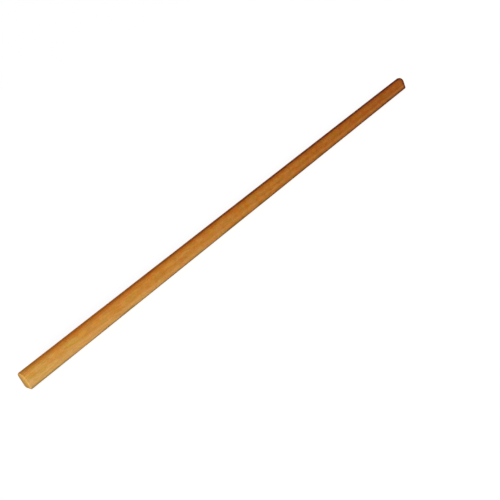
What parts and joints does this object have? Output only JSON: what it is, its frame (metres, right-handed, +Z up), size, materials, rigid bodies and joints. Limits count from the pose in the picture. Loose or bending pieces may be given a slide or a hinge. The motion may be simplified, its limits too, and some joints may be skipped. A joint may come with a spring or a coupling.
{
  "type": "stair handrail length",
  "caption": "Straight timber stair handrail length with a flat underside, upright sides, a rounded grip on top and eased ends, for wall brackets or between newel posts.",
  "frame": {"origin": "middle of the flat underside, at half the rail's length", "axes": "+X along the rail towards its upper end, +Z up from the underside to the rounded grip, +Y across the rail"},
  "size_m": [2.4, 0.05, 0.062],
  "materials": {
    "timber": "golden brown timber under a clear matt lacquer"
  },
  "bodies": {
    "root": {"handrail": "timber"}
  },
  "joints": []
}
